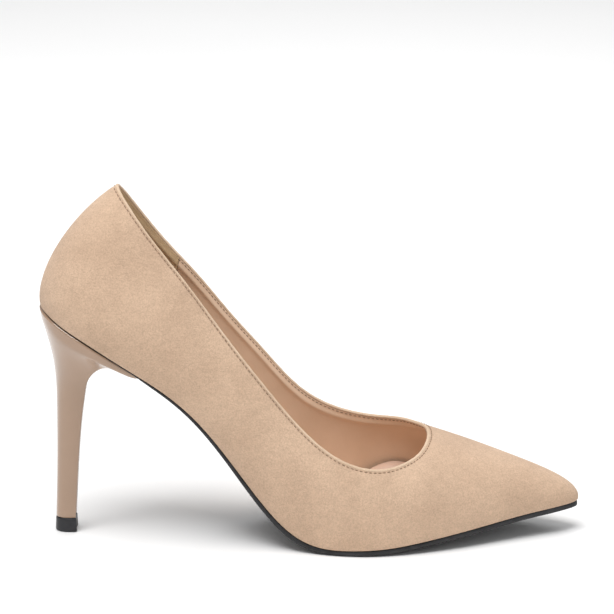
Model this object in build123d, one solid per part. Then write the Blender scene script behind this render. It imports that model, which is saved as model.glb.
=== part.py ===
"""High heel pump: pointed toe, stiletto heel of 10 cm, as separate pieces.

Work frame in mm: +X points to the toe, the lateral side faces -Y, +Z is up and the ground is z = 0.
The upper's outside is one surface. u runs once round the foot from the back seam over the lateral
side to the toe and back along the medial side. v runs from 0 at the feather line, where the upper
meets the sole, to 1 at the topline.
"""
from build123d import *
import os
from math import pi

import numpy as np

# Shift from the work frame to the stored frame, whose origin is the middle of the base.
X_SHIFT = -115.472
Y_SHIFT = 1.06

# Layers of the upper, measured inwards from its outside.
UPPER_THICK = 1.1
GLUE_GAP = 0.05
STIFFENER_EDGE = 0.15
STIFFENER_GAIN = 0.6
LINING_THICK = 0.8
BINDING_HEIGHT = 1.3
BINDING_OVERHANG = 0.12
LINING_BACK = UPPER_THICK + 2 * GLUE_GAP + STIFFENER_EDGE
BINDING_DEPTH = LINING_BACK + LINING_THICK + 0.1

# Layers of the bottom, measured from the top of the outsole.
MARGIN_TOP = 1.1
BOARD_THICK = 1.2
PAD_THICK = 1.2
HEEL_PAD_THICK = 1.6
SOCK_THICK = 0.7
INSOLE_LOW = MARGIN_TOP + GLUE_GAP
SHANK_BOARD_LOW = INSOLE_LOW + BOARD_THICK + GLUE_GAP
SOCK_LOW = SHANK_BOARD_LOW + PAD_THICK + GLUE_GAP
BOARD_INSET = 3.0

# Lasting margin: where it starts to turn in, and how far it reaches towards the foot's middle.
MARGIN_MIDDLE = 116
MARGIN_SHRINK = (0.1, 0.5)
FEATHER_TURN = 0.17
FEATHER_RISE = 1.9

# Lengthwise stations of the bottom pieces, and how far each lies inside the feather line.
BOTTOM_ENDS = (-3, 233)
PAD_START = 112.0
PAD_GAP = 0.5
SHANK_ENDS = (20.0, 108.0)
SHANK_WIDTH = 12.0
SHANK_LOW = 0.1
HEEL_PAD_ENDS = (9.0, 60.0)
HEEL_PAD_SKIVES = (8, 22)
HEEL_PAD_EDGE = 0.15
HEEL_PAD_INSET = 4.0
FILLER_START = 112.0
FILLER_SCALES = (0.885, 0.48)
SOCK_INSET = 3.2
OUTSOLE_INSET = 0.3
HEEL_INSET = 0.4

# Stiffeners: reach in u to each side of their middle, top in v, and height of their lower edge.
COUNTER_REACH = 0.19
COUNTER_TOP = 0.84
PUFF_REACH = 0.09
PUFF_TOP = 0.5
STIFFENER_RISE = 1.4
LINING_RISE = 1.5

# Lining seams, by station, and the gap between neighbouring linings in u.
GRIP_SEAM = 3.35
VAMP_SEAM = 10.6
SEAM_GAP = 5e-4

# Stitching round the topline.
STITCH_DROP = 1.9
STITCH_PITCH = 2.4
STITCH_LENGTH = 1.8
THREAD_RADIUS = 0.2

# Stiletto fittings.
TIP_HEIGHT = 6.0
TUBE_RADIUS = 2.2
PIN_RADIUS = 1.3
TUBE_TOP = 62.0
BORE_ENDS = (0, 80)
PIN_ENDS = (2.5, 26)
AXIS_FOOT = 10.5
AXIS_LEAN = 0.034

# Fasteners: x from the rear of the seat, y from the middle, and depth below the outsole's top.
SCREW_X = 21
SCREW_DEPTH = 20
SCREW_RADIUS = 2.0
SCREW_HEAD_RADIUS = 3.6
SCREW_HEAD_THICK = 1.0
NAIL_PLACES = ((13, 7), (26, 7))
NAIL_DEPTH = 8
NAIL_RADIUS = 0.8
RIVET_PLACES = (46, 100)
RIVET_RADIUS = 1.5

# Height or length that reaches past the whole shoe.
PAST_ALL = 200

# Top of the outsole along the foot: x, z.
PROFILE = [
    (-4, 102.6), (8, 96.4), (22, 88.6), (38, 78.6), (54, 67.6), (68, 54.6), (82, 37.0), (94, 21.0),
    (106, 8.6), (118, 3.0), (132, 2.2), (148, 3.0), (166, 5.2), (190, 8.5), (212, 11.2), (234, 13.2),
]
SOLE_THICKNESS = [(-4, 0.6), (42, 1.0), (80, 1.5), (112, 2.2), (240, 2.2)]

# Stations round the foot from the back seam to the toe:
# feather x, lateral y, medial y; topline x, lateral y, medial y, lateral z, medial z;
# bulge of the side over the feather: out, up; lean of the side under the topline: out, down.
STATIONS = [
    (1.6, 0, 0, 34.9, 0, 0, 152.2, 152.2, 3.5, 15, 18, 11),
    (6, -12, 12, 37, -6, 6, 149.2, 149.0, 5, 16, 17, 14),
    (17, -21, 21, 45.5, -12, 12, 137.2, 136.2, 7, 17, 13, 19),
    (35, -24.5, 23.5, 56, -16, 15.5, 124, 122.2, 8, 17, 9, 19),
    (56, -24, 21, 68, -19, 18, 108.8, 108, 8, 16, 6, 15),
    (76, -23.5, 19.5, 81, -22, 21, 91.2, 91, 7, 16, 5, 14),
    (97, -27, 22, 95, -25.5, 24, 73.6, 74.0, 6, 15, 4, 13),
    (118, -33.5, 29.5, 111, -29.5, 27, 55.2, 55.8, 4, 12, 5, 12),
    (140, -37, 34.5, 127.5, -32, 29.5, 41.9, 45.8, 2, 10, 7, 10),
    (163, -32.5, 33, 143, -31, 28, 37.0, 42.8, 2, 10, 9, 9),
    (186, -23.5, 25, 154.5, -25, 22, 37.8, 43.4, 2, 10, 12, 8.5),
    (208, -12.8, 15.5, 162, -14.5, 13, 40, 43.8, 2.8, 11.2, 18, 8),
    (223.4, -5.8, 7.6, 164.8, -5, 7, 42.3, 43.6, 3.4, 11.6, 26, 8.6),
    (230, 0.5, 0.5, 165.3, 1, 1, 43.0, 43.0, 4, 12, 30, 10),
]

# Cross-sections of the heel from the ground up: back x, z, breast x, z, half width.
HEEL_SECTIONS = [
    (6.3, TIP_HEIGHT, 14.8, TIP_HEIGHT, 4.4),
    (6.8, 20, 15.7, 20, 4.6),
    (7.3, 38, 17.0, 38, 5.2),
    (7.5, 54, 18.6, 53, 6.6),
    (7.3, 68, 20.2, 63.5, 9.0),
    (6.2, 78, 22.4, 71, 13),
    (4.4, 86, 28, 76.2, 17.5),
    (2.8, 92, 34, 76.3, 21),
    (1.5, 97, 42.8, 73.3, 23),
    (0.5, 106, 48, 80, 23.8),
]
# Share of a section's length taken by the round back, and its half width at the breast.
D_ROUND = 0.62
D_FRONT = 0.94
TIP_BASE = (5.9, 0, 15.3, 0, 4.8)
TIP_TOP = (6.2, TIP_HEIGHT - GLUE_GAP, 15.0, TIP_HEIGHT - GLUE_GAP, 4.55)


def spline_through(knots, values, periodic=False):
    """Return a function for the smooth cubic curve that passes through the values at the knots."""
    t = np.asarray(knots, float)
    y = np.asarray(values, float).reshape(len(t), -1)
    last = len(t) - 1
    h = np.diff(t)
    slope = np.diff(y, axis=0) / h[:, None]
    system = np.eye(last + 1)
    right = np.zeros_like(y)
    for i in range(1, last):
        system[i, i - 1:i + 2] = h[i - 1], 2 * (h[i - 1] + h[i]), h[i]
        right[i] = 6 * (slope[i] - slope[i - 1])
    if periodic:
        system[0, [0, 1, last - 1]] = 2 * (h[0] + h[-1]), h[0], h[-1]
        right[0] = 6 * (slope[0] - slope[-1])
        system[last, 0] = -1
    bend = np.linalg.solve(system, right)

    def at(x):
        if periodic:
            x = t[0] + (x - t[0]) % (t[-1] - t[0])
        i = int(np.clip(np.searchsorted(t, x, side="right") - 1, 0, last - 1))
        a = (t[i + 1] - x) / h[i]
        b = 1 - a
        curve = (a ** 3 - a) * bend[i] + (b ** 3 - b) * bend[i + 1]
        return a * y[i] + b * y[i + 1] + curve * h[i] ** 2 / 6

    return at


def station_ring():
    """Order the stations once round the foot, with their places 0 to 1 along the way."""
    lateral = [(s[0], s[1], s[3], s[4], s[6], *s[8:]) for s in STATIONS]
    medial = [(s[0], s[2], s[3], s[5], s[7], *s[8:]) for s in STATIONS]
    rows = np.array(lateral + medial[-2:0:-1] + lateral[:1], float)
    gap = np.abs(np.diff(rows, axis=0))
    low = np.hypot(gap[:, 0], gap[:, 1])
    high = np.sqrt(gap[:, 2] ** 2 + gap[:, 3] ** 2 + gap[:, 4] ** 2)
    places = np.concatenate([[0], np.cumsum(low + high)])
    return places / places[-1], rows


PLACES, RING = station_ring()
ring_at = spline_through(PLACES, RING, periodic=True)
profile_at = spline_through([p[0] for p in PROFILE], [p[1] for p in PROFILE])
U_TOE = PLACES[len(STATIONS) - 1]


def place_at(station):
    """u at a station, counted from the back seam over the lateral side; fractions fall between."""
    return float(np.interp(station, np.arange(len(PLACES)), PLACES))


def sole_top(x):
    return float(profile_at(x)[0])


def down_from(x):
    """Unit direction, in x and z, that points down and out of the bottom at x."""
    step = 0.1
    slope = (sole_top(x + step) - sole_top(x - step)) / (2 * step)
    length = np.hypot(1, slope)
    return slope / length, -1 / length


def under(x, depth):
    """Point in x and z at a depth below the top of the outsole; a negative depth is above it."""
    dx, dz = down_from(x)
    return x + depth * dx, sole_top(x) + depth * dz


def outward(delta):
    normal = np.array([delta[1], -delta[0], 0])
    return normal / np.linalg.norm(normal)


def side_curve(u):
    """The four control points of the upper's section at u, from the feather to the topline."""
    row = ring_at(u)
    step = 1e-4
    run = ring_at(u + step) - ring_at(u - step)
    feather = np.array([row[0], row[1], sole_top(row[0])])
    topline = row[2:5]
    low = feather + row[5] * outward(run[0:2]) + row[6] * np.array([0, 0, 1])
    high = topline + row[7] * outward(run[2:4]) - row[8] * np.array([0, 0, 1])
    return feather, low, high, topline


def skin(u, v):
    """Point on the outside of the upper."""
    feather, low, high, topline = side_curve(u)
    w = 1 - v
    return w ** 3 * feather + 3 * w * w * v * low + 3 * w * v * v * high + v ** 3 * topline


def skin_normal(u, v):
    step = 1e-4
    v = min(max(v, step), 1 - step)
    along = skin(u + step, v) - skin(u - step, v)
    up = skin(u, v + step) - skin(u, v - step)
    normal = np.cross(along, up)
    return normal / np.linalg.norm(normal)


def inside(u, v, depth):
    """Point at a depth inwards of the upper's outside."""
    return skin(u, v) - depth * skin_normal(u, v)


def v_under_topline(u, drop):
    feather, low, high, topline = side_curve(u)
    return 1 - drop / (3 * np.linalg.norm(topline - high))


def v_over_feather(u, rise):
    """v at a height over the bottom, measured square to it."""
    feather, low, high, topline = side_curve(u)
    square = -down_from(feather[0])[1]
    return rise / (3 * np.linalg.norm(low - feather) * square)


def ease(x):
    x = min(max(x, 0), 1)
    return x * x * (3 - 2 * x)


def round_distance(u, centre):
    return abs((u - centre + 0.5) % 1 - 0.5)


def stiffness(u, v):
    """1 where the counter and the toe puff are full, easing to 0 past their skived edges."""
    counter = ease((0.2 - round_distance(u, 0)) / 0.06) * ease((0.88 - v) / 0.2)
    puff = ease((0.1 - round_distance(u, U_TOE)) / 0.04) * ease((0.55 - v) / 0.2)
    return max(counter, puff)


def stiffener_outer(u, v):
    return UPPER_THICK + GLUE_GAP


def stiffener_inner(u, v):
    return UPPER_THICK + GLUE_GAP + STIFFENER_EDGE + STIFFENER_GAIN * stiffness(u, v)


def lining_outer(u, v):
    return LINING_BACK + STIFFENER_GAIN * stiffness(u, v)


def lining_inner(u, v):
    return lining_outer(u, v) + LINING_THICK


def constant(depth):
    return lambda u, v: depth


def skin_patch(u_ends, v_low, v_high, depth, columns, rows):
    points = []
    for u in np.linspace(*u_ends, columns):
        ends = v_low(u), v_high(u)
        column = [inside(u, v, depth(u, v)) for v in np.linspace(*ends, rows)]
        points.append([Vector(*point) for point in column])
    return Face.make_surface_from_array_of_points(points, tol=5e-3)


def close_sheet(front, back):
    """Solid between two facing patches, with ruled sides from edge to edge."""
    sides = []
    for edge in front.edges():
        partner = min(back.edges(), key=lambda other: ((other @ 0.5) - (edge @ 0.5)).length)
        sides.append(Face.make_surface_from_curves(edge, partner))
    return Solid(Shell([front, back, *sides]))


def skin_piece(u_ends, v_low, v_high, outer, inner, columns=60, rows=14):
    """Closed sheet between two depths inside the upper's surface."""
    front = skin_patch(u_ends, v_low, v_high, outer, columns, rows)
    back = skin_patch(u_ends, v_low, v_high, inner, columns, rows)
    return close_sheet(front, back)


def footprint(inset, count=72):
    """Plan outline of the feather line, drawn in by the inset."""
    points = []
    for u in np.arange(count) / count:
        row = ring_at(u)
        run = ring_at(u + 1e-4) - ring_at(u - 1e-4)
        point = row[0:2] - inset * outward(run[0:2])[0:2]
        points.append(Vector(point[0], point[1]))
    return points


def prism(points):
    outline = Face(Wire([Edge.make_spline(points, periodic=True)]))
    return extrude(outline, PAST_ALL)


def waist_outline(length_scale, width_scale):
    """The feather line shrunk about the middle of the foot."""
    return [Vector(MARGIN_MIDDLE + (p.X - MARGIN_MIDDLE) * length_scale, p.Y * width_scale)
            for p in footprint(0)]


def band(low, high, ends, count=40):
    """Slab that follows the bottom's profile between two heights over the outsole's top."""
    stations = np.linspace(*ends, count)
    low_points = [Vector(x, 0, z) for x, z in (under(s, -low(s)) for s in stations)]
    high_points = [Vector(x, 0, z) for x, z in (under(s, -high(s)) for s in stations)]
    wire = Wire([
        Edge.make_spline(low_points),
        Edge.make_line(low_points[-1], high_points[-1]),
        Edge.make_spline(high_points[::-1]),
        Edge.make_line(high_points[0], low_points[0]),
    ])
    reach = 60
    return extrude(Face(wire), reach, dir=(0, 1, 0), both=True)


def level(height):
    return lambda x: height


def sole_depth(x):
    stations = [p[0] for p in SOLE_THICKNESS]
    return -float(np.interp(x, stations, [p[1] for p in SOLE_THICKNESS]))


def heel_pad_rise(x):
    """Thickness of the heel pad along the foot, skived to nothing at both ends."""
    start, end = HEEL_PAD_ENDS
    rear_skive, front_skive = HEEL_PAD_SKIVES
    return HEEL_PAD_THICK * ease((x - start) / rear_skive) * ease((end - x) / front_skive)


def heel_pad_top(x):
    """Height of the heel pad's top over the outsole's top, with the thin edge that its skives keep."""
    return SOCK_LOW + max(heel_pad_rise(x), HEEL_PAD_EDGE)


def d_outline(section):
    """Section round the back of the heel, from one breast corner to the other."""
    corner = [(1, D_FRONT), (0.8, 0.985)]
    back_x, back_z, front_x, front_z, half_width = section
    back = np.array([back_x, 0, back_z])
    along = np.array([front_x - back_x, 0, front_z - back_z])
    angles = np.linspace(pi / 2, 3 * pi / 2, 13)
    curve = [(D_ROUND + D_ROUND * np.cos(a), np.sin(a)) for a in angles]
    other_corner = [(share, -side) for share, side in corner[::-1]]
    across = np.array([0, half_width, 0])
    shares = corner + curve + other_corner
    return [Vector(*(back + share * along + side * across)) for share, side in shares]


def d_body(sections, levels):
    """Body with a round back and a flat breast that passes through the sections."""
    rows = np.array(sections, float)
    gap = np.diff(rows, axis=0)
    rise = np.hypot(gap[:, 0], gap[:, 1]) + np.hypot(gap[:, 2], gap[:, 3])
    knots = np.concatenate([[0], np.cumsum(rise)])
    section_at = spline_through(knots, rows)
    grid = [d_outline(section_at(level)) for level in np.linspace(0, knots[-1], levels)]
    around = Face.make_surface_from_array_of_points(grid, tol=0.01, min_deg=3)

    def edge_by(corner_a, corner_b):
        middle = (corner_a + corner_b) * 0.5
        return min(around.edges(), key=lambda edge: ((edge @ 0 + edge @ 1) * 0.5 - middle).length)

    sides = [edge_by(grid[0][i], grid[-1][i]) for i in (0, -1)]
    caps = [edge_by(grid[i][0], grid[i][-1]) for i in (0, -1)]
    faces = [around, Face.make_surface_from_curves(sides[0], sides[1].reversed())]
    for cap in caps:
        faces.append(Face(Wire([cap, Edge.make_line(cap @ 1, cap @ 0)])))
    return Solid(Shell(faces))


def rod(start, end, radius):
    axis = Vector(*end) - Vector(*start)
    return Solid.make_cylinder(radius, axis.length, Plane(origin=start, z_dir=axis))


def seat_rod(x, y, low, high, radius):
    """Round rod square to the bottom at x, between two heights over the outsole's top."""
    start_x, start_z = under(x, -low)
    end_x, end_z = under(x, -high)
    return rod((start_x, y, start_z), (end_x, y, end_z), radius)


# ---- upper -----------------------------------------------------------------------------------

def binding_v(u):
    return v_under_topline(u, BINDING_HEIGHT)


def below_binding(u):
    return v_under_topline(u, BINDING_HEIGHT + GLUE_GAP)


def margin_point(u, turn, depth):
    """Point of the lasting margin; turn runs from 0 at the feather line to 1 at its inner edge."""
    feather = side_curve(u)[0]
    x = MARGIN_MIDDLE + (feather[0] - MARGIN_MIDDLE) * (1 - MARGIN_SHRINK[0] * turn)
    y = feather[1] * (1 - MARGIN_SHRINK[1] * turn)
    low_x, low_z = under(x, -GLUE_GAP - depth)
    return np.array([low_x, y, low_z])


def lasted_column(u, depth):
    """Section of the upper at u from the margin's inner edge, round the feather, to the binding."""
    margin = [margin_point(u, turn, depth) for turn in (1, 0.72, 0.44, FEATHER_TURN)]
    start = v_over_feather(u, FEATHER_RISE)
    wall = [inside(u, v, depth) for v in np.linspace(start, below_binding(u), 14)]
    corner = margin_point(u, 0, depth) - depth * flat_outward(u)
    bend = [(1 - s) ** 2 * margin[-1] + 2 * s * (1 - s) * corner + s * s * wall[0]
            for s in (0.25, 0.5, 0.75)]
    return margin + bend + wall


def flat_outward(u):
    step = 1e-4
    run = ring_at(u + step) - ring_at(u - step)
    return outward(run[0:2])


def make_upper():
    """Side wall and the lasting margin turned in under the insole; a butt seam at the back."""
    seam = 4e-5
    skins = []
    for depth in (0, UPPER_THICK):
        columns = [lasted_column(u, depth) for u in np.linspace(seam, 1 - seam, 60)]
        points = [[Vector(*point) for point in column] for column in columns]
        skins.append(Face.make_surface_from_array_of_points(points, tol=0.05, min_deg=3))
    return close_sheet(*skins)


def constant_v(v):
    return lambda u: v


def make_binding():
    """Folded strip over the edges of the upper and the lining."""
    seam = 1e-4
    return skin_piece((seam, 1 - seam), binding_v, constant_v(1.0), constant(-BINDING_OVERHANG),
                      constant(BINDING_DEPTH), 120, 3)


def make_stitching():
    """Row of separate lockstitches under the binding."""
    def seat(u):
        v = v_under_topline(u, STITCH_DROP)
        return inside(u, v, -THREAD_RADIUS - 0.06)

    samples = np.linspace(0.004, 0.996, 1200)
    points = np.array([seat(u) for u in samples])
    run = np.concatenate([[0], np.cumsum(np.linalg.norm(np.diff(points, axis=0), axis=1))])
    half = STITCH_LENGTH / 2
    stitches = []
    for centre in np.arange(STITCH_PITCH, run[-1] - STITCH_PITCH, STITCH_PITCH):
        start = seat(np.interp(centre - half, run, samples))
        end = seat(np.interp(centre + half, run, samples))
        stitches.append(rod(tuple(start), tuple(end), THREAD_RADIUS))
    return Compound(stitches)


def above_feather(rise):
    return lambda u: v_over_feather(u, rise)


def make_stiffener(u_ends, top):
    """Moulded board between the upper and the lining."""
    return skin_piece(u_ends, above_feather(STIFFENER_RISE), constant_v(top),
                      stiffener_outer, stiffener_inner)


def make_lining(u_ends):
    return skin_piece(u_ends, above_feather(LINING_RISE), below_binding,
                      lining_outer, lining_inner, 50)


def make_linings():
    """Grip at the heel, a quarter lining on each side and the vamp lining, seam to seam."""
    last = len(PLACES) - 1
    grip = (place_at(last - GRIP_SEAM) - 1, place_at(GRIP_SEAM))
    lateral = (place_at(GRIP_SEAM) + SEAM_GAP, place_at(VAMP_SEAM))
    medial = (place_at(last - VAMP_SEAM), place_at(last - GRIP_SEAM) - SEAM_GAP)
    vamp = (place_at(VAMP_SEAM) + SEAM_GAP, place_at(last - VAMP_SEAM) - SEAM_GAP)
    return {
        "heel_grip_lining": make_lining(grip),
        "quarter_lining_lateral": make_lining(lateral),
        "quarter_lining_medial": make_lining(medial),
        "vamp_lining": make_lining(vamp),
    }


# ---- bottom ----------------------------------------------------------------------------------

def make_board(low, high, ends, inset=BOARD_INSET):
    return band(low, high, ends) & prism(footprint(inset))


def make_fasteners():
    """Heel screw, four heel nails and two shank rivets, all flush with the shank board."""
    top = SHANK_BOARD_LOW + BOARD_THICK
    head_low = top - SCREW_HEAD_THICK
    screw = seat_rod(SCREW_X, 0, -SCREW_DEPTH, head_low, SCREW_RADIUS)
    screw += seat_rod(SCREW_X, 0, head_low, top, SCREW_HEAD_RADIUS)
    nails = [seat_rod(x, side * y, -NAIL_DEPTH, top, NAIL_RADIUS)
             for x, y in NAIL_PLACES for side in (-1, 1)]
    rivets = [seat_rod(x, 0, SHANK_LOW, top, RIVET_RADIUS) for x in RIVET_PLACES]
    return screw, Compound(nails), Compound(rivets)


def make_steel_shank():
    start, end = SHANK_ENDS
    spare = 8
    middle = Location(((start + end) / 2, 0, 60))
    strip = Box(end - start, SHANK_WIDTH, PAST_ALL).moved(middle)
    bar = band(level(SHANK_LOW), level(MARGIN_TOP - 0.05), (start - spare, end + spare))
    return bar & strip


def make_filler():
    """Fills the hollow inside the lasting margin under the forepart."""
    length, width, rear = 150, 120, 90
    cutter = Box(length, width, PAST_ALL).moved(Location((FILLER_START + length / 2, 0, 60)))
    body = band(level(GLUE_GAP), level(MARGIN_TOP), (rear, BOTTOM_ENDS[1]))
    return body & prism(waist_outline(*FILLER_SCALES)) & cutter


def make_boards():
    """Insole board along the whole foot, and the shank board over its rear half."""
    insole = make_board(level(INSOLE_LOW), level(INSOLE_LOW + BOARD_THICK), BOTTOM_ENDS)
    shank_board = make_board(level(SHANK_BOARD_LOW), level(SHANK_BOARD_LOW + BOARD_THICK),
                             (BOTTOM_ENDS[0], PAD_START - PAD_GAP))
    return insole, shank_board


def make_forepart_pad():
    return make_board(level(SHANK_BOARD_LOW), level(SHANK_BOARD_LOW + PAD_THICK),
                      (PAD_START, BOTTOM_ENDS[1]))


def make_heel_pad():
    return make_board(level(SOCK_LOW), heel_pad_top, HEEL_PAD_ENDS, HEEL_PAD_INSET)


def make_sock():
    def low(x):
        return heel_pad_top(x) + GLUE_GAP

    return make_board(low, lambda x: low(x) + SOCK_THICK, BOTTOM_ENDS, SOCK_INSET)


def make_outsole():
    return make_board(sole_depth, level(0), BOTTOM_ENDS, OUTSOLE_INSET)


# ---- heel ------------------------------------------------------------------------------------

def make_heel():
    """Moulded heel, its seat cut to the bottom's profile and its lip kept inside the upper."""
    body = d_body(HEEL_SECTIONS, 30)
    above = band(lambda x: sole_depth(x) - GLUE_GAP, level(60), (-30, 100))
    return (body - above) & prism(footprint(HEEL_INSET))


def heel_axis(z):
    """Middle of the stiletto at a height."""
    return AXIS_FOOT + AXIS_LEAN * (z - TIP_HEIGHT)


def axis_rod(low, high, radius):
    return rod((heel_axis(low), 0, low), (heel_axis(high), 0, high), radius)


def cut(body, *tools):
    for tool in tools:
        for solid in tool.solids():
            body = body - solid
    return body


# ---- the whole shoe --------------------------------------------------------------------------

def make_upper_pieces():
    return {
        "upper": make_upper(),
        "topline_binding": make_binding(),
        "topline_stitching": make_stitching(),
        "heel_counter": make_stiffener((-COUNTER_REACH, COUNTER_REACH), COUNTER_TOP),
        "toe_puff": make_stiffener((U_TOE - PUFF_REACH, U_TOE + PUFF_REACH), PUFF_TOP),
        **make_linings(),
    }


def make_bottom_pieces(screw, nails, rivets):
    insole, shank_board = make_boards()
    return {
        "sock_lining": make_sock(),
        "heel_pad": make_heel_pad(),
        "forepart_pad": make_forepart_pad(),
        "shank_board": cut(shank_board, screw, nails, rivets),
        "insole_board": cut(insole, screw, nails, rivets),
        "steel_shank": cut(make_steel_shank(), screw, nails, rivets),
        "shank_rivets": rivets,
        "bottom_filler": make_filler(),
        "outsole": cut(make_outsole(), screw, nails),
    }


def make_heel_pieces(screw, nails):
    tube = axis_rod(TIP_HEIGHT, TUBE_TOP, TUBE_RADIUS)
    pin = axis_rod(*PIN_ENDS, PIN_RADIUS)
    return {
        "heel_block": cut(make_heel(), screw, nails, tube),
        "heel_tube": tube - axis_rod(*BORE_ENDS, PIN_RADIUS),
        "heel_tip": cut(d_body((TIP_BASE, TIP_TOP), 4), pin),
        "heel_tip_pin": pin,
        "heel_screw": screw,
        "heel_nails": nails,
    }


def make_parts():
    screw, nails, rivets = make_fasteners()
    return {
        **make_upper_pieces(),
        **make_bottom_pieces(screw, nails, rivets),
        **make_heel_pieces(screw, nails),
    }


os.makedirs("parts", exist_ok=True)
for name, piece in make_parts().items():
    placed = Pos(X_SHIFT, Y_SHIFT, 0) * piece
    export_step(placed, f"parts/{name}.step")
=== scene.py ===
"""High heel pump in nude suede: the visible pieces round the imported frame, in metres.

The upper's outside is one surface. u runs once round the foot from the back seam over the lateral
side to the toe and back, and v runs from 0 at the feather line to 1 at the topline. Depths are
measured inwards from that surface.
"""
from math import pi, radians

import bpy
import numpy as np
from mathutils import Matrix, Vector


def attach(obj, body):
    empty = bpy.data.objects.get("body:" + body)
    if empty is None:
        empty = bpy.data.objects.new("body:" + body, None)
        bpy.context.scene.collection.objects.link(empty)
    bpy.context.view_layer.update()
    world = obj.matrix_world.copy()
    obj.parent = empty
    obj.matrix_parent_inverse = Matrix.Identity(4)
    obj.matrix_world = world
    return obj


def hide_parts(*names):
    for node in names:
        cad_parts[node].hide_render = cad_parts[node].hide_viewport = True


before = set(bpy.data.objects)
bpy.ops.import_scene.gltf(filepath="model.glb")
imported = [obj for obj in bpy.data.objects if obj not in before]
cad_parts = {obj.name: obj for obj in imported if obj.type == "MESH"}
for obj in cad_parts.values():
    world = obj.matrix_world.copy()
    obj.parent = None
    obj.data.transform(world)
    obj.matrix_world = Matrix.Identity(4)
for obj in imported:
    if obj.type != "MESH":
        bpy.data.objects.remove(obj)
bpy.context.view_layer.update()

MM = 0.001
# Shift from the shoe's drawing frame, whose zero is the rear of the heel seat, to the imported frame.
SHIFT = np.array([-115.472, 1.06, 0]) * MM

UPPER_THICK = 1.1 * MM
LINING_BACK = 1.35 * MM
LINING_THICK = 0.8 * MM
STIFFENER_GAIN = 0.6 * MM
FOLD_HEIGHT = 1.25 * MM
FOLD_HALF_HEIGHT = 0.55 * FOLD_HEIGHT
FOLD_OUT = 0.1 * MM
FOLD_IN = 1.25 * MM
SKIVE_LENGTH = 4.5 * MM
SKIVE_UPPER = 0.6 * MM
SKIVE_LINING = 0.8 * MM
LINING_EDGE_THIN = 0.2 * MM
STITCH_DROP = 1.9 * MM
LINING_STITCH_DROP = 1.55 * MM
STITCH_PITCH = 2.0 * MM
STITCH_LENGTH = 1.3 * MM
THREAD_RADIUS = 0.2 * MM
GRIP_STITCH_LENGTH = 1.7 * MM
GRIP_THREAD_RADIUS = 0.16 * MM
GRIP_LAP = 0.25 * MM
RIDGE_DROP = 3.9 * MM
RIDGE_HEIGHT = 0.5 * MM
RIDGE_WIDTH = 1.5 * MM
SOCK_LOW = 3.65 * MM
SOCK_THICK = 0.7 * MM
HEEL_PAD_THICK = 1.6 * MM
HEEL_PAD_ENDS = (9 * MM, 60 * MM)
HEEL_PAD_SKIVES = (8 * MM, 22 * MM)
HEEL_PAD_EDGE = 0.15 * MM
FOOT_MIDDLE = 116 * MM
GAP = 0.05 * MM
# Rough distance round the foot for one whole turn of u.
ROUND = 0.53

# Top of the outsole along the foot, in mm: x, z.
PROFILE = [
    (-4, 102.6), (8, 96.4), (22, 88.6), (38, 78.6), (54, 67.6), (68, 54.6), (82, 37.0), (94, 21.0),
    (106, 8.6), (118, 3.0), (132, 2.2), (148, 3.0), (166, 5.2), (190, 8.5), (212, 11.2), (234, 13.2),
]
# Thickness of the outsole, in mm: x, thickness. Only a thin tail shows over the heel.
SOLE_THICKNESS = [(-4, 0.35), (42, 0.6), (50, 1.05), (80, 1.5), (112, 2.2), (240, 2.2)]

# Stations round the foot from the back seam to the toe, in mm:
# feather x, lateral y, medial y; topline x, lateral y, medial y, lateral z, medial z;
# bulge of the side over the feather: out, up; lean of the side under the topline: out, down.
STATIONS = [
    (1.6, 0, 0, 34.9, 0, 0, 152.2, 152.2, 3.5, 15, 18, 11),
    (6, -12, 12, 37, -6, 6, 149.2, 149.0, 5, 16, 17, 14),
    (17, -21, 21, 45.5, -12, 12, 137.2, 136.2, 7, 17, 13, 19),
    (35, -24.5, 23.5, 56, -16, 15.5, 124, 122.2, 8, 17, 9, 19),
    (56, -24, 21, 68, -19, 18, 108.8, 108, 8, 16, 6, 15),
    (76, -23.5, 19.5, 81, -22, 21, 91.2, 91, 7, 16, 5, 14),
    (97, -27, 22, 95, -25.5, 24, 73.6, 74.0, 6, 15, 4, 13),
    (118, -33.5, 29.5, 111, -29.5, 27, 55.2, 55.8, 4, 12, 5, 12),
    (140, -37, 34.5, 127.5, -32, 29.5, 41.9, 45.8, 2, 10, 7, 10),
    (163, -32.5, 33, 143, -31, 28, 37.0, 42.8, 2, 10, 9, 9),
    (186, -23.5, 25, 154.5, -25, 22, 37.8, 43.4, 2, 10, 12, 8.5),
    (208, -12.8, 15.5, 162, -14.5, 13, 40, 43.8, 2.8, 11.2, 18, 8),
    (223.4, -5.8, 7.6, 164.8, -5, 7, 42.3, 43.6, 3.4, 11.6, 26, 8.6),
    (230, 0.5, 0.5, 165.3, 1, 1, 43.0, 43.0, 4, 12, 30, 10),
]

# Cross-sections of the heel from the ground up, in mm: back x, z, breast x, z, half width.
TIP_HEIGHT = 6.0
HEEL_SECTIONS = [
    (6.3, TIP_HEIGHT, 14.8, TIP_HEIGHT, 4.4),
    (6.8, 20, 15.7, 20, 4.6),
    (7.3, 38, 17.0, 38, 5.2),
    (7.5, 54, 18.6, 53, 6.6),
    (7.3, 68, 20.2, 63.5, 9.0),
    (6.2, 78, 22.4, 71, 13),
    (4.4, 86, 28, 76.2, 17.5),
    (2.8, 92, 34, 76.3, 21),
    (1.5, 97, 42.8, 73.3, 23),
    (0.5, 106, 48, 80, 23.8),
]
HEEL_BREAST_HOLLOW = 0.05
TIP_BASE = (5.9, 0, 15.3, 0, 4.8)
TIP_TOP = (6.2, TIP_HEIGHT - 0.05, 15.0, TIP_HEIGHT - 0.05, 4.55)


# ---- the shoe's surfaces ---------------------------------------------------------------------

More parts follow.
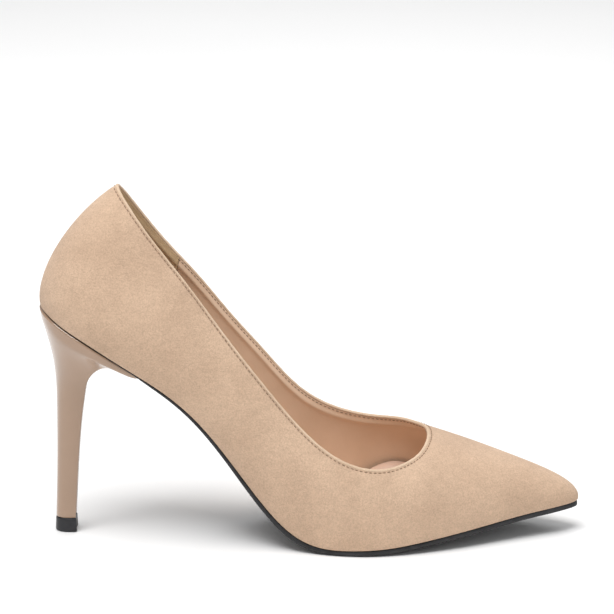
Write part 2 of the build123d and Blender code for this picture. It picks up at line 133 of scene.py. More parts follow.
def spline_through(knots, values, periodic=False):
    """Return a function for the smooth cubic curve that passes through the values at the knots."""
    t = np.asarray(knots, float)
    y = np.asarray(values, float).reshape(len(t), -1)
    last = len(t) - 1
    h = np.diff(t)
    slope = np.diff(y, axis=0) / h[:, None]
    system = np.eye(last + 1)
    right = np.zeros_like(y)
    for i in range(1, last):
        system[i, i - 1:i + 2] = h[i - 1], 2 * (h[i - 1] + h[i]), h[i]
        right[i] = 6 * (slope[i] - slope[i - 1])
    if periodic:
        system[0, [0, 1, last - 1]] = 2 * (h[0] + h[-1]), h[0], h[-1]
        right[0] = 6 * (slope[0] - slope[-1])
        system[last, 0] = -1
    bend = np.linalg.solve(system, right)

    def at(x):
        x = np.asarray(x, float)
        if periodic:
            x = t[0] + (x - t[0]) % (t[-1] - t[0])
        i = np.clip(np.searchsorted(t, x, side="right") - 1, 0, last - 1)
        a = ((t[i + 1] - x) / h[i])[..., None]
        b = 1 - a
        curve = (a ** 3 - a) * bend[i] + (b ** 3 - b) * bend[i + 1]
        return a * y[i] + b * y[i + 1] + curve * (h[i] ** 2)[..., None] / 6

    return at


def station_ring():
    """Order the stations once round the foot, with their places 0 to 1 along the way."""
    lateral = [(s[0], s[1], s[3], s[4], s[6], *s[8:]) for s in STATIONS]
    medial = [(s[0], s[2], s[3], s[5], s[7], *s[8:]) for s in STATIONS]
    rows = np.array(lateral + medial[-2:0:-1] + lateral[:1], float) * MM
    gap = np.abs(np.diff(rows, axis=0))
    low = np.hypot(gap[:, 0], gap[:, 1])
    high = np.sqrt(gap[:, 2] ** 2 + gap[:, 3] ** 2 + gap[:, 4] ** 2)
    places = np.concatenate([[0], np.cumsum(low + high)])
    return places / places[-1], rows


PLACES, RING = station_ring()
ring_at = spline_through(PLACES, RING, periodic=True)
profile_at = spline_through([p[0] * MM for p in PROFILE], [p[1] * MM for p in PROFILE])
U_TOE = PLACES[len(STATIONS) - 1]

# Lining seams, by station, and the gap between neighbouring linings in u.
GRIP_SEAM = 3.35
VAMP_SEAM = 10.6
SEAM_GAP = 5e-4
UP = np.array([0, 0, 1.0])


def place_at(station):
    """u at a station, counted from the back seam over the lateral side; fractions fall between."""
    return float(np.interp(station, np.arange(len(PLACES)), PLACES))


LAST = len(PLACES) - 1
GRIP_ENDS = (place_at(LAST - GRIP_SEAM) - 1, place_at(GRIP_SEAM))
LATERAL_ENDS = (GRIP_ENDS[1] + SEAM_GAP, place_at(VAMP_SEAM))
MEDIAL_ENDS = (place_at(LAST - VAMP_SEAM), place_at(LAST - GRIP_SEAM) - SEAM_GAP)
VAMP_ENDS = (LATERAL_ENDS[1] + SEAM_GAP, MEDIAL_ENDS[0] - SEAM_GAP)


def unit(vectors):
    return vectors / np.linalg.norm(vectors, axis=-1, keepdims=True)


def sole_top(x):
    return profile_at(x)[..., 0]


def down_from(x):
    """Unit direction in x and z that points down and out of the bottom at x."""
    step = 0.1 * MM
    slope = (sole_top(x + step) - sole_top(x - step)) / (2 * step)
    length = np.hypot(1, slope)
    return slope / length, -1 / length


def outward(delta):
    return unit(np.stack([delta[..., 1], -delta[..., 0], 0 * delta[..., 0]], -1))


def side_curve(u):
    """Control points of the upper's section at u, from the feather to the topline."""
    row = ring_at(u)
    step = 1e-4
    run = ring_at(u + step) - ring_at(u - step)
    feather = np.stack([row[..., 0], row[..., 1], sole_top(row[..., 0])], -1)
    topline = row[..., 2:5]
    low = feather + row[..., 5:6] * outward(run[..., 0:2]) + row[..., 6:7] * UP
    high = topline + row[..., 7:8] * outward(run[..., 2:4]) - row[..., 8:9] * UP
    return feather, low, high, topline


def skin(u, v):
    feather, low, high, topline = side_curve(u)
    v = np.asarray(v)[..., None]
    w = 1 - v
    return w ** 3 * feather + 3 * w * w * v * low + 3 * w * v * v * high + v ** 3 * topline


def skin_normal(u, v):
    step = 1e-4
    v = np.clip(v, step, 1 - step)
    along = skin(u + step, v) - skin(u - step, v)
    up = skin(u, v + step) - skin(u, v - step)
    return unit(np.cross(along, up))


def inside(u, v, depth):
    return skin(u, v) - np.asarray(depth)[..., None] * skin_normal(u, v)


def topline_pull(u):
    """Length of surface per unit of v just under the topline."""
    feather, low, high, topline = side_curve(u)
    return 3 * np.linalg.norm(topline - high, axis=-1)


def v_over_feather(u, rise):
    feather, low, high, topline = side_curve(u)
    square = -down_from(feather[..., 0])[1]
    return rise / (3 * np.linalg.norm(low - feather, axis=-1) * square)


def ease(x):
    x = np.clip(x, 0, 1)
    return x * x * (3 - 2 * x)


def hump(x, width):
    return np.exp(-(x / width) ** 2)


def round_distance(u, centre):
    return np.abs((u - centre + 0.5) % 1 - 0.5)


def skived(drop):
    """1 at the very topline, where upper and lining are pared thin, easing to 0 below it."""
    return 1 - ease(drop / SKIVE_LENGTH)


def stiffness(u, v):
    """1 where the counter and the toe puff are full, easing to 0 past their skived edges."""
    counter = ease((0.2 - round_distance(u, 0)) / 0.06) * ease((0.88 - v) / 0.2)
    puff = ease((0.1 - round_distance(u, U_TOE)) / 0.04) * ease((0.55 - v) / 0.2)
    return np.maximum(counter, puff)


# ---- meshes ----------------------------------------------------------------------------------

def add_mesh(name, points, faces, smooth=True):
    mesh = bpy.data.meshes.new(name)
    mesh.from_pydata((points + SHIFT).tolist(), [], faces)
    mesh.validate()
    if smooth:
        mesh.shade_smooth()
    piece = bpy.data.objects.new(name, mesh)
    bpy.context.scene.collection.objects.link(piece)
    return piece


def loop_faces(count, size, wrap):
    """Quads between closed loops of one size; the open ends are capped."""
    faces = []
    spans = count if wrap else count - 1
    for i in range(spans):
        a, b = i * size, (i + 1) % count * size
        for j in range(size):
            k = (j + 1) % size
            faces.append((a + j, b + j, b + k, a + k))
    if not wrap:
        faces.append(tuple(range(size)))
        faces.append(tuple((count - 1) * size + j for j in reversed(range(size))))
    return faces


def loop_piece(name, loops, wrap=False):
    """Closed piece from an array of closed loops: count, points in each, 3."""
    count, size = loops.shape[:2]
    return add_mesh(name, loops.reshape(-1, 3), loop_faces(count, size, wrap))


def weld(piece, distance=1e-6):
    modifier = piece.modifiers.new("weld", "WELD")
    modifier.merge_threshold = distance
    bpy.context.view_layer.objects.active = piece
    bpy.ops.object.modifier_apply(modifier=modifier.name)


def sheet_loops(u, v_rows, front_depth, back_depth):
    """Loops of a sheet's section: up its front face and down its back."""
    uu = np.repeat(u[:, None], v_rows.shape[1], 1)
    front = inside(uu, v_rows, front_depth(uu, v_rows))
    back = inside(uu, v_rows, back_depth(uu, v_rows))
    return np.concatenate([front, back[:, ::-1]], 1)


# ---- topline stitches ------------------------------------------------------------------------

def stitch_places(drop, pitch):
    """u of each stitch's middle along a line under the topline, and u of the gap after each."""
    u = np.linspace(0.003, 0.997, 4000)
    line = skin(u, 1 - drop / topline_pull(u))
    run = np.concatenate([[0], np.cumsum(np.linalg.norm(np.diff(line, axis=0), axis=1))])
    middles = np.arange(pitch, run[-1] - pitch / 2, pitch)
    return np.interp(middles, run, u), np.interp(middles + pitch / 2, run, u)


STITCH_U, STITCH_GAPS = stitch_places(STITCH_DROP, STITCH_PITCH)


def stitch_pull(u, drop):
    """How far the thread pulls the suede in: a light channel with a pit between stitches."""
    nearest = np.abs(u[:, None] - STITCH_GAPS[None, :]).min(-1)
    pit_width = 0.0011
    pit = hump(nearest, pit_width)[:, None]
    across = hump(drop - STITCH_DROP, 0.45 * MM)
    return (0.10 * MM + 0.22 * MM * pit) * across


def fat_thread(half_length, radius, rings=7, around=8):
    """Points and faces of one fat thread along local x."""
    blunt = 0.6
    angle = np.linspace(0, pi, rings + 2)[1:-1]
    turn = np.linspace(0, 2 * pi, around, endpoint=False)
    ends = [(half_length * np.cos(a), radius * np.sin(a) ** blunt) for a in angle]
    body = [(x, wide * np.cos(t), wide * np.sin(t)) for x, wide in ends for t in turn]
    points = np.array([(half_length, 0, 0)] + body + [(-half_length, 0, 0)])
    faces = [(0, 1 + j, 1 + (j + 1) % around) for j in range(around)]
    for i in range(rings - 1):
        a = 1 + i * around
        faces += [(a + j, a + around + j, a + around + (j + 1) % around, a + (j + 1) % around)
                  for j in range(around)]
    last = 1 + (rings - 1) * around
    faces += [(last + (j + 1) % around, last + j, len(points) - 1) for j in range(around)]
    return points, faces


def thread_row(name, centres, along, out, half_length, radius):
    """Separate stitches at the centres, each lying along its own direction."""
    shape, shape_faces = fat_thread(half_length, radius)
    points, faces = [], []
    for centre, x_dir, z_dir in zip(centres, unit(along), unit(out)):
        y_dir = np.cross(z_dir, x_dir)
        base = len(points) * len(shape)
        points.append(centre + shape @ np.array([x_dir, y_dir, z_dir]))
        faces += [tuple(base + i for i in face) for face in shape_faces]
    return add_mesh(name, np.concatenate(points), faces)


def make_stitches():
    u = STITCH_U
    v = 1 - STITCH_DROP / topline_pull(u)
    step = 1e-4
    along = skin(u + step, v) - skin(u - step, v)
    proud = 0.04 * MM
    centres = inside(u, v, np.full(len(u), -proud))
    out = skin_normal(u, v)
    return thread_row("topline_stitches", centres, along, out, STITCH_LENGTH / 2, THREAD_RADIUS)


# ---- upper -----------------------------------------------------------------------------------

COLUMNS_ROUND = 840


def margin_point(u, turn, depth):
    """Point of the lasting margin; turn runs from 0 at the feather line to 1 at its inner edge."""
    feather = side_curve(u)[0]
    x = FOOT_MIDDLE + (feather[:, 0] - FOOT_MIDDLE) * (1 - 0.1 * turn)
    y = feather[:, 1] * (1 - 0.5 * turn)
    dx, dz = down_from(x)
    rise = GAP + depth
    return np.stack([x - rise * dx, y, sole_top(x) - rise * dz], -1)


def flat_outward(u):
    step = 1e-4
    run = ring_at(u + step) - ring_at(u - step)
    return outward(run[:, 0:2])


def lasted_columns(u, v_wall, depth, relief):
    """Sections of the upper at u: the margin, the turn at the feather, then the wall."""
    margin = [margin_point(u, turn, depth) for turn in (1, 0.7, 0.4, 0.07)]
    uu = np.repeat(u[:, None], v_wall.shape[1], 1)
    wall = inside(uu, v_wall, depth + relief)
    corner = margin_point(u, 0, depth) - depth * flat_outward(u)
    bend = [(1 - s) ** 2 * margin[-1] + 2 * s * (1 - s) * corner + s * s * wall[:, 0]
            for s in (0.15, 0.3, 0.45, 0.6, 0.75, 0.88)]
    return np.concatenate([np.stack(margin + bend, 1), wall], 1)


def make_upper():
    """Suede in one closed strip round the foot, pared thin and pulled in along the topline."""
    u = np.arange(COLUMNS_ROUND) / COLUMNS_ROUND
    start = v_over_feather(u, 0.9 * MM)
    pull = topline_pull(u)
    # Rows crowd together under the topline, where the stitches pull the suede in.
    drops = np.array([5.2, 4.5, 3.9, 3.4, 3.0, 2.7, 2.4, 2.15, 1.9, 1.65, 1.4, 1.2, 1.05]) * MM
    near_top = 1 - drops[None, :] / pull[:, None]
    shares = np.linspace(0, 1, 44)[None, :-1]
    low = start[:, None] + (near_top[:, :1] - start[:, None]) * shares
    v_wall = np.concatenate([low, near_top], 1)
    drop = (1 - v_wall) * pull[:, None]
    seam = 0.35 * MM * hump(round_distance(u, 0) * ROUND, 0.5 * MM)[:, None]
    tuck = 0.25 * MM * ease((1.5 * MM - drop) / (0.4 * MM))
    relief = stitch_pull(u, drop) + seam + tuck
    outer = lasted_columns(u, v_wall, 0, relief)
    inner = lasted_columns(u, v_wall, UPPER_THICK, -SKIVE_UPPER * skived(drop))
    return loop_piece("suede_upper", np.concatenate([outer, inner[:, ::-1]], 1), wrap=True)


def make_topline_fold():
    """Thin folded strip over the edges of the upper and the lining, rounded along its top."""
    u = np.arange(COLUMNS_ROUND) / COLUMNS_ROUND
    top = np.ones(len(u))
    step = 1e-3
    normal = skin_normal(u, top)
    up = unit(skin(u, top) - skin(u, top - step))
    half = (FOLD_OUT + FOLD_IN) / 2
    centre = skin(u, top) + (FOLD_OUT - half) * normal - FOLD_HALF_HEIGHT * up
    angle = np.linspace(0, 2 * pi, 20, endpoint=False)
    across = np.sign(np.cos(angle)) * np.abs(np.cos(angle)) ** 0.55 * half
    along = np.sign(np.sin(angle)) * np.abs(np.sin(angle)) ** 0.7 * FOLD_HALF_HEIGHT
    # The strip's height wavers a little, as on one folded by hand.
    wave = 1 + 0.05 * np.sin(u * 2 * pi * 61) + 0.04 * np.sin(u * 2 * pi * 97 + 1)
    loops = centre[:, None] + normal[:, None] * across[None, :, None]
    loops = loops + up[:, None] * along[None, :, None] * wave[:, None, None]
    return loop_piece("topline_fold", loops, wrap=True)


# ---- linings ---------------------------------------------------------------------------------

def make_lining(name, u_ends, columns, raised=0.0):
    """Lining sheet; the topline tape shows through it as a soft ridge, and a raised one laps its
    neighbours, with a stitched channel along each end."""
    u = np.linspace(*u_ends, columns)
    start = v_over_feather(u, 1.6 * MM)
    pull = topline_pull(u)
    drops = np.array([9, 8, 7.2, 6.5, 5.9, 5.4, 4.9, 4.4, 3.9, 3.4, 2.9, 2.4, 1.9, 1.4, 1.0]) * MM
    near_top = 1 - drops[None, :] / pull[:, None]
    low = start[:, None] + (near_top[:, :1] - start[:, None]) * np.linspace(0, 1, 30)[None, :-1]
    v = np.concatenate([low, near_top], 1)

    def front(uu, vv):
        drop = (1 - vv) * pull[:, None]
        ridge = RIDGE_HEIGHT * hump(drop - RIDGE_DROP, RIDGE_WIDTH)
        edge = np.minimum(uu - u_ends[0], u_ends[1] - uu) * ROUND
        channel = 0.1 * MM * hump(edge - 1.6 * MM, 0.3 * MM) * (raised > 0)
        lap = raised * ease(edge / (0.6 * MM)) - channel
        return back(uu, vv) + LINING_THICK - LINING_EDGE_THIN * skived(drop) + ridge + lap

    def back(uu, vv):
        thin = SKIVE_LINING * skived((1 - vv) * pull[:, None])
        return LINING_BACK + STIFFENER_GAIN * stiffness(uu, vv) - thin

    return loop_piece(name, sheet_loops(u, v, front, back))


def make_lining_stitches():
    """The same lockstitch row where it comes through on the lining."""
    u = STITCH_U
    v = 1 - LINING_STITCH_DROP / topline_pull(u)
    thin = skived(LINING_STITCH_DROP)
    depth = LINING_BACK + LINING_THICK - (SKIVE_LINING + LINING_EDGE_THIN) * thin
    step = 1e-4
    along = skin(u + step, v) - skin(u - step, v)
    proud = 0.06 * MM
    centres = inside(u, v, np.full(len(u), depth + proud))
    out = -skin_normal(u, v)
    return thread_row("lining_stitches", centres, along, out, STITCH_LENGTH / 2, THREAD_RADIUS)


def make_grip_stitches():
    """Two short rows of stitches that hold the grip lining's front edges."""
    rows = []
    setback = 0.0025
    for edge in (GRIP_ENDS[0] + setback, GRIP_ENDS[1] - setback):
        v = np.arange(0.1, 0.93, 0.044)
        u = np.full(len(v), edge % 1)
        depth = LINING_BACK + LINING_THICK + STIFFENER_GAIN * stiffness(u, v) + 0.24 * MM
        step = 1e-3
        along = skin(u, v + step) - skin(u, v - step)
        rows.append((inside(u, v, depth), along, -skin_normal(u, v)))
    centres, along, out = (np.concatenate(parts) for parts in zip(*rows))
    return thread_row("grip_stitches", centres, along, out, GRIP_STITCH_LENGTH / 2, GRIP_THREAD_RADIUS)


# ---- bottom ----------------------------------------------------------------------------------

RING_STEPS = np.arange(0, 2 * (len(STATIONS) - 1), 0.0625)


def ring_u(step):
    return np.interp(step, np.arange(len(PLACES)), PLACES)


def inset_edge(u, inset):
    feather = side_curve(u)[0]
    return feather - inset(feather[:, :1]) * flat_outward(u)


def plan_rings(inset, shrinks):
    """Plan points for each step round the foot at each shrink, 0 at the edge and 1 on the spine."""
    edge = inset_edge(ring_u(RING_STEPS), inset)
    other = inset_edge(ring_u((LAST - RING_STEPS) % LAST), inset)
    spine = (edge + other) / 2
    spine[:, 0] = FOOT_MIDDLE + (spine[:, 0] - FOOT_MIDDLE) * 0.88
    shrinks = np.asarray(shrinks)[None, :, None]
    return (edge[:, None] * (1 - shrinks) + spine[:, None] * shrinks)[..., :2]


def slab(name, inset, low, high, edge_round, lift=None):
    """Slab that follows the bottom's profile between two heights, with rounded edges."""
    rows = 16
    inner = 1 - np.linspace(0, 1, rows) ** 1.4
    half_foot = 26 * MM
    turn = np.linspace(-pi / 2, pi / 2, 9)
    edge_shrink = (edge_round - edge_round * np.cos(turn)) / half_foot
    share = 0.5 + 0.5 * np.sin(turn)
    shrinks = np.concatenate([inner[:-1], edge_shrink, inner[:-1][::-1]])
    shares = np.concatenate([np.zeros(rows - 1), share, np.ones(rows - 1)])
    plan = plan_rings(inset, np.clip(shrinks, 0, 1))
    x = plan[..., 0]
    height = low(x) * (1 - shares) + high(x) * shares
    dx, dz = down_from(x)
    loops = np.stack([x - height * dx, plan[..., 1], sole_top(x) - height * dz], -1)
    if lift:
        loops[..., 2] += lift(x, plan[..., 1], np.clip(1 - shrinks, 0, 1)[None, :])
    piece = loop_piece(name, loops, wrap=True)
    weld(piece)
    return piece


def sole_depth(x):
    stations = [p[0] * MM for p in SOLE_THICKNESS]
    return -np.interp(x, stations, [p[1] * MM for p in SOLE_THICKNESS])


def heel_pad_rise(x):
    """Thickness of the heel pad along the foot, skived to a thin edge at both ends."""
    start, end = HEEL_PAD_ENDS
    rear_skive, front_skive = HEEL_PAD_SKIVES
    rise = HEEL_PAD_THICK * ease((x - start) / rear_skive) * ease((end - x) / front_skive)
    return np.maximum(rise, HEEL_PAD_EDGE)


def make_outsole():
    """Black sole that shows past the upper's feather line, but draws in under the heel seat."""
    def inset(x):
        return 0.2 * MM + 0.7 * MM * ease((47 * MM - x) / (9 * MM))

    return slab("black_outsole", inset, sole_depth, lambda x: 0 * x, 0.45 * MM)


def make_sock():
    def low(x):
        return SOCK_LOW + heel_pad_rise(x) + GAP

    def curl(x, y, share):
        """The sock is cut wide at the ball, so its inner edge rides up the lining there."""
        rise, middle, reach, side = 12.5 * MM, 152 * MM, 34 * MM, 30 * MM
        along = ease(1 - np.abs(x - middle) / reach)
        return rise * along * ease((y / side - 0.55) / 0.5) * ease((share - 0.45) / 0.55)

    def inset(x):
        return 3.3 * MM + 0 * x

    return slab("sock_sheet", inset, low, lambda x: low(x) + SOCK_THICK, 0.3 * MM, curl)


# ---- heel ------------------------------------------------------------------------------------

def d_outline(rows):
    """Loops for heel sections: round back, straight sides, rounded corners, hollow breast."""
    round_share = 0.62
    back = np.stack([rows[:, 0], 0 * rows[:, 0], rows[:, 1]], -1)
    along = np.stack([rows[:, 2] - rows[:, 0], 0 * rows[:, 0], rows[:, 3] - rows[:, 1]], -1)
    angle = np.linspace(pi / 2, 3 * pi / 2, 41)
    curve = [(round_share + round_share * np.cos(a), np.sin(a)) for a in angle]
    front_side = [
        (0.70, 0.996), (0.78, 0.988), (0.86, 0.972), (0.93, 0.952), (0.97, 0.935), (0.99, 0.915),
        (0.998, 0.885),
    ]
    breast = [(1.0 - HEEL_BREAST_HOLLOW * (1 - t * t), t * 0.86) for t in np.linspace(1, -1, 15)]
    left = front_side[::-1]
    right = [(share, -side) for share, side in front_side]
    shares = np.array(left + curve + right + breast[::-1])
    loops = back[:, None] + shares[None, :, 0:1] * along[:, None]
    loops[..., 1:2] = shares[None, :, 1:2] * rows[:, None, 4:5]
    return loops * MM


def heel_levels(sections):
    rows = np.array(sections, float)
    gap = np.diff(rows, axis=0)
    rise = np.hypot(gap[:, 0], gap[:, 1]) + np.hypot(gap[:, 2], gap[:, 3])
    knots = np.concatenate([[0], np.cumsum(rise)])
    return spline_through(knots, rows), knots[-1]


def seat_gap(points):
    """Height of points under the underside of the outsole."""
    x = points[..., 0]
    slope = -1 / down_from(x)[1]
    return sole_top(x) + (sole_depth(x) - GAP) * slope - points[..., 2]


def make_heel():
    """Heel whose rim ends on the sole: each line up its side stops where it meets the seat."""
    section_at, top = heel_levels(HEEL_SECTIONS)
    levels = np.linspace(0, top, 400)
    loops = d_outline(section_at(levels))
    below = seat_gap(loops)
    stop = np.argmax(below < 0, axis=0)
    columns = []
    for j, last in enumerate(stop):
        a, b = below[last - 1, j], below[last, j]
        end = levels[last - 1] + (levels[last] - levels[last - 1]) * a / (a - b)
        share = np.linspace(0, 1, 90)
        line = [np.interp(share * end, levels, loops[:, j, axis]) for axis in range(3)]
        columns.append(np.transpose(line))
    body = np.stack(columns, 1)
    # The lowest ring stops short, so that a hairline joint shows over the tip.
    body[0] = body[1] * 0.3 + body[0] * 0.7
    return loop_piece("lacquered_heel", body)


def make_heel_tip():
    """Top piece under the stiletto, its lower edge rounded."""
    section_at, top = heel_levels((TIP_BASE, TIP_TOP))
    shares = np.array([0, 0.02, 0.06, 0.12, 0.3, 0.5, 0.7, 0.88, 0.95, 1])
    loops = d_outline(section_at(shares * top))
    middle = loops.mean(1, keepdims=True)
    shrink = np.array([0.93, 0.97, 0.99, 1, 1, 1, 1, 1, 0.99, 0.97])[:, None, None]
    flat = middle + (loops - middle) * shrink
    flat[..., 2] = loops[..., 2]
    return loop_piece("heel_tip_cap", flat)


# ---- materials -------------------------------------------------------------------------------

def new_material(name, roughness, **sockets):
    material = bpy.data.materials.new(name)
    material.use_nodes = True
    shader = material.node_tree.nodes["Principled BSDF"]
    shader.inputs["Roughness"].default_value = roughness
    for socket, value in sockets.items():
        shader.inputs[socket.replace("_", " ")].default_value = value
    return material, material.node_tree, shader


def noise(tree, scale, detail, roughness=0.5, stretch=None):
    """Noise fixed to the piece, in waves per metre."""
    coordinates = tree.nodes.new("ShaderNodeTexCoord")
    texture = tree.nodes.new("ShaderNodeTexNoise")
    texture.inputs["Scale"].default_value = scale
    texture.inputs["Detail"].default_value = detail
    texture.inputs["Roughness"].default_value = roughness
    source = coordinates.outputs["Object"]
    if stretch:
        mapping = tree.nodes.new("ShaderNodeMapping")
        mapping.inputs["Scale"].default_value = stretch
        tree.links.new(source, mapping.inputs["Vector"])
        source = mapping.outputs["Vector"]
    tree.links.new(source, texture.inputs["Vector"])
    return texture.outputs["Fac"]


def ramp(tree, source, stops):
    """Colours from a number, blended between two stops: place and colour."""
    node = tree.nodes.new("ShaderNodeValToRGB")
    for element, (place, colour) in zip(node.color_ramp.elements, stops):
        element.position = place
        element.color = (*colour, 1)
    tree.links.new(source, node.inputs["Fac"])
    return node.outputs["Color"]


def blend_colours(tree, first, second, mode, amount):
    node = tree.nodes.new("ShaderNodeMix")
    node.data_type = "RGBA"
    node.blend_type = mode
    node.inputs["Factor"].default_value = amount
    tree.links.new(first, node.inputs["A"])
    tree.links.new(second, node.inputs["B"])
    return node.outputs["Result"]


def bump(tree, shader, source, distance, strength=1.0, under=None):
    node = tree.nodes.new("ShaderNodeBump")
    node.inputs["Distance"].default_value = distance
    node.inputs["Strength"].default_value = strength
    tree.links.new(source, node.inputs["Height"])
    if under:
        tree.links.new(under.outputs["Normal"], node.inputs["Normal"])
    tree.links.new(node.outputs["Normal"], shader.inputs["Normal"])
    return node


def grey(level):
    return (level, level, level)


def suede(name, light, dark, grain=0.5):
    """Napped leather: soft patches of brushed pile, fine speckle and a raised nap."""
    material, tree, shader = new_material(name, 0.95, Sheen_Weight=0.12, Sheen_Roughness=0.6,
                                          Specular_IOR_Level=0.1)
    patches = ramp(tree, noise(tree, 42, 6, 0.6), [(0.34, dark), (0.64, light)])
    strokes = noise(tree, 230, 4, 0.65, stretch=(1, 1, 1.8))
    brushed = ramp(tree, strokes, [(0.32, grey(0.86)), (0.66, grey(1.0))])
    speckle = ramp(tree, noise(tree, 1500, 3, 0.7), [(0.34, grey(0.66)), (0.62, grey(1.0))])
    colour = blend_colours(tree, patches, brushed, "MULTIPLY", 0.6)
    colour = blend_colours(tree, colour, speckle, "MULTIPLY", grain)
    tree.links.new(colour, shader.inputs["Base Color"])
    pile = bump(tree, shader, noise(tree, 1900, 4, 0.7), 0.0004, 0.8)
    bump(tree, shader, noise(tree, 380, 3, 0.6), 0.0005, 0.35, pile)
    return material


def smooth_leather(name, light, dark, roughness=0.42, pebble=0.00006):
    """Polished lining leather: faint clouding, fine pores and a satin surface."""
    material, tree, shader = new_material(name, roughness, Specular_IOR_Level=0.4)
    clouds = ramp(tree, noise(tree, 60, 4, 0.55), [(0.3, dark), (0.7, light)])
    tree.links.new(clouds, shader.inputs["Base Color"])
    worn = [(0.3, grey(roughness - 0.07)), (0.7, grey(roughness + 0.1))]
    sheen = ramp(tree, noise(tree, 240, 3, 0.5), worn)
    tree.links.new(sheen, shader.inputs["Roughness"])
    pores = bump(tree, shader, noise(tree, 1500, 2, 0.5), pebble, 0.6)
    bump(tree, shader, noise(tree, 140, 2, 0.5), 0.0004, 0.25, pores)
    return material


def lacquer(name, light, dark):
    """Sprayed nude lacquer over a moulded heel: smooth, with a clear top coat."""
    material, tree, shader = new_material(name, 0.32, Coat_Weight=0.9, Coat_Roughness=0.16,
                                          Specular_IOR_Level=0.45)
    tone = ramp(tree, noise(tree, 45, 3, 0.5), [(0.3, dark), (0.7, light)])
    tree.links.new(tone, shader.inputs["Base Color"])
    bump(tree, shader, noise(tree, 260, 2, 0.5), 0.00012, 0.12)
    return material


def moulded(name, light, dark, roughness, grain_scale=900, depth=0.00008):
    """Moulded plastic, rubber or board: fine surface grain and worn lighter patches."""
    material, tree, shader = new_material(name, roughness, Specular_IOR_Level=0.4)
    tone = ramp(tree, noise(tree, 180, 4, 0.6), [(0.35, dark), (0.7, light)])
    tree.links.new(tone, shader.inputs["Base Color"])
    worn = [(0.3, grey(roughness - 0.08)), (0.7, grey(roughness + 0.1))]
    shine = ramp(tree, noise(tree, 320, 3, 0.5), worn)
    tree.links.new(shine, shader.inputs["Roughness"])
    bump(tree, shader, noise(tree, grain_scale, 3, 0.55), depth, 0.5)
    return material


def spun_thread(name, light, dark):
    material, tree, shader = new_material(name, 0.8, Sheen_Weight=0.15)
    twist = ramp(tree, noise(tree, 5200, 2, 0.5), [(0.35, dark), (0.65, light)])
    tree.links.new(twist, shader.inputs["Base Color"])
    bump(tree, shader, noise(tree, 4200, 2, 0.5), 0.00006, 0.6)
    return material


def steel(name):
    material, tree, shader = new_material(name, 0.35, Metallic=1.0)
    streaks = noise(tree, 300, 3, 0.5, stretch=(1, 14, 14))
    tone = ramp(tree, streaks, [(0.3, grey(0.42)), (0.7, grey(0.6))])
    tree.links.new(tone, shader.inputs["Base Color"])
    rough = ramp(tree, streaks, [(0.3, grey(0.28)), (0.7, grey(0.45))])
    tree.links.new(rough, shader.inputs["Roughness"])
    return material


def open_foam(name):
    material, tree, shader = new_material(name, 0.95)
    cells = noise(tree, 1300, 4, 0.7)
    tone = ramp(tree, cells, [(0.35, (0.52, 0.45, 0.34)), (0.65, (0.72, 0.66, 0.55))])
    tree.links.new(tone, shader.inputs["Base Color"])
    bump(tree, shader, cells, 0.0003, 0.6)
    return material


# ---- putting it together ---------------------------------------------------------------------

def finish_piece(piece, material, slot, *nodes):
    piece.data.materials.append(material)
    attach(piece, "root")
    if nodes:
        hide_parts(*nodes)


def dress_frame(materials):
    """Materials for the CAD nodes that stay as they are, most of them inside the shoe."""
    for name, material in materials.items():
        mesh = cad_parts[name].data
        mesh.materials.clear()
        mesh.materials.append(material)


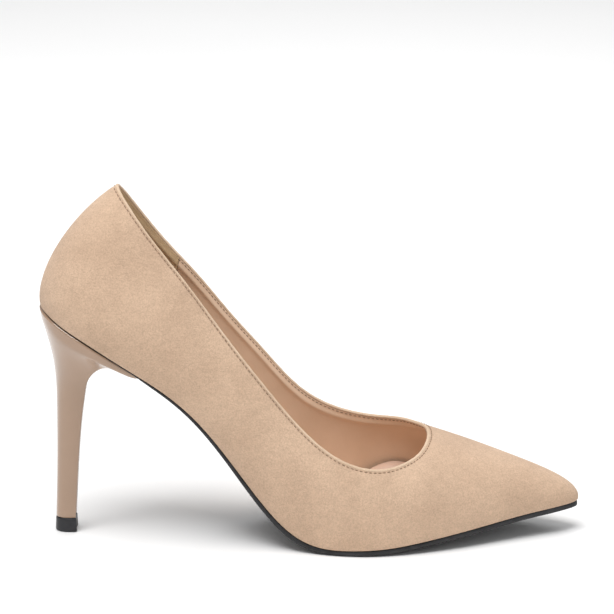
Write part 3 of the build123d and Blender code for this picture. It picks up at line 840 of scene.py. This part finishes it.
def build_shoe():
    nude = suede("nude_suede", (0.72, 0.512, 0.36), (0.63, 0.44, 0.306), 0.62)
    fold = suede("skived_suede_fold", (0.755, 0.57, 0.41), (0.68, 0.495, 0.345), 0.25)
    lining = smooth_leather("lining_leather", (0.78, 0.57, 0.41), (0.71, 0.505, 0.35))
    grip = suede("grip_nubuck", (0.66, 0.47, 0.28), (0.56, 0.39, 0.22), 0.3)
    sock = smooth_leather("sock_leather", (0.70, 0.50, 0.385), (0.64, 0.45, 0.34), 0.5)
    thread = spun_thread("beige_thread", (0.33, 0.215, 0.14), (0.22, 0.14, 0.09))
    pale_thread = spun_thread("pale_thread", (0.6, 0.45, 0.3), (0.45, 0.32, 0.2))
    heel = lacquer("nude_lacquer", (0.385, 0.25, 0.165), (0.35, 0.225, 0.145))
    sole = moulded("black_sole_rubber", (0.03, 0.03, 0.033), (0.012, 0.012, 0.013), 0.5)
    tip = moulded("black_tip_plastic", (0.022, 0.022, 0.026), (0.012, 0.012, 0.014), 0.36, 700, 0.00004)
    board = moulded("pressed_fibre_board", (0.46, 0.34, 0.21), (0.34, 0.24, 0.14), 0.8, 1500, 0.00015)
    zinc = steel("zinc_plated_steel")
    foam = open_foam("latex_foam")

    finish_piece(make_upper(), nude, "suede", "upper")
    finish_piece(make_topline_fold(), fold, "suede", "topline_binding")
    finish_piece(make_stitches(), thread, "thread", "topline_stitching")
    grip_piece = make_lining("grip_lining", GRIP_ENDS, 190, GRIP_LAP)
    finish_piece(grip_piece, grip, "grip_lining", "heel_grip_lining")
    finish_piece(make_grip_stitches(), pale_thread, "thread")
    finish_piece(make_lining_stitches(), thread, "thread")
    lateral = make_lining("lateral_lining", LATERAL_ENDS, 180)
    finish_piece(lateral, lining, "lining", "quarter_lining_lateral")
    medial = make_lining("medial_lining", MEDIAL_ENDS, 180)
    finish_piece(medial, lining, "lining", "quarter_lining_medial")
    finish_piece(make_lining("toe_lining", VAMP_ENDS, 120), lining, "lining", "vamp_lining")
    finish_piece(make_sock(), sock, "lining", "sock_lining")
    finish_piece(make_outsole(), sole, "sole_rubber", "outsole")
    finish_piece(make_heel(), heel, "heel_lacquer", "heel_block")
    finish_piece(make_heel_tip(), tip, "tip_plastic", "heel_tip")
    dress_frame({
        "heel_counter": board, "toe_puff": board, "heel_pad": foam, "forepart_pad": foam,
        "shank_board": board, "insole_board": board, "steel_shank": zinc, "shank_rivets": zinc,
        "bottom_filler": foam, "heel_tube": zinc, "heel_tip_pin": zinc, "heel_screw": zinc,
        "heel_nails": zinc,
    })


def make_floor():
    size = 4
    clearance = 0.0002
    bpy.ops.mesh.primitive_plane_add(size=size, location=(0, 0, -clearance))
    floor = bpy.context.object
    floor.name = "floor"
    material, tree, shader = new_material("pale_floor", 0.9, Specular_IOR_Level=0.1)
    tone = ramp(tree, noise(tree, 3, 2), [(0.3, grey(0.90)), (0.7, grey(0.92))])
    tree.links.new(tone, shader.inputs["Base Color"])
    floor.data.materials.append(material)


def area_light(name, place, target, size, power):
    light = bpy.data.lights.new(name, "AREA")
    light.energy = power
    light.size = size
    lamp = bpy.data.objects.new(name, light)
    lamp.location = place
    direction = np.array(target) - np.array(place)
    lamp.rotation_euler = Vector(direction).to_track_quat("-Z", "Y").to_euler()
    bpy.context.scene.collection.objects.link(lamp)


def light_studio():
    world = bpy.data.worlds.new("studio")
    world.use_nodes = True
    background = world.node_tree.nodes["Background"]
    background.inputs["Color"].default_value = (1, 1, 1, 1)
    background.inputs["Strength"].default_value = 0.4
    bpy.context.scene.world = world
    bpy.context.scene.view_settings.view_transform = "Standard"
    target = (0, 0, 0.06)
    area_light("key", (-0.35, -0.6, 2.2), target, 1.5, 52)
    area_light("fill", (0.9, -0.8, 0.5), target, 0.8, 1)
    area_light("back", (0.1, 0.9, 1.1), target, 0.8, 4)


def place_camera():
    """Long lens, 17 degrees above the ground, square to the lateral side."""
    distance = 1.5
    elevation = radians(17)
    view_width = 0.261
    sensor = 36
    data = bpy.data.cameras.new("camera")
    data.sensor_width = sensor
    data.lens = sensor * distance / view_width
    data.shift_x = -0.0042
    data.shift_y = 0.1433
    data.clip_end = 50
    camera = bpy.data.objects.new("camera", data)
    aim = np.array([115, 0, 60]) * MM + SHIFT
    camera.location = aim + distance * np.array([0, -np.cos(elevation), np.sin(elevation)])
    camera.rotation_euler = (pi / 2 - elevation, 0, 0)
    bpy.context.scene.collection.objects.link(camera)
    bpy.context.scene.camera = camera


place_camera()
light_studio()
make_floor()
build_shoe()
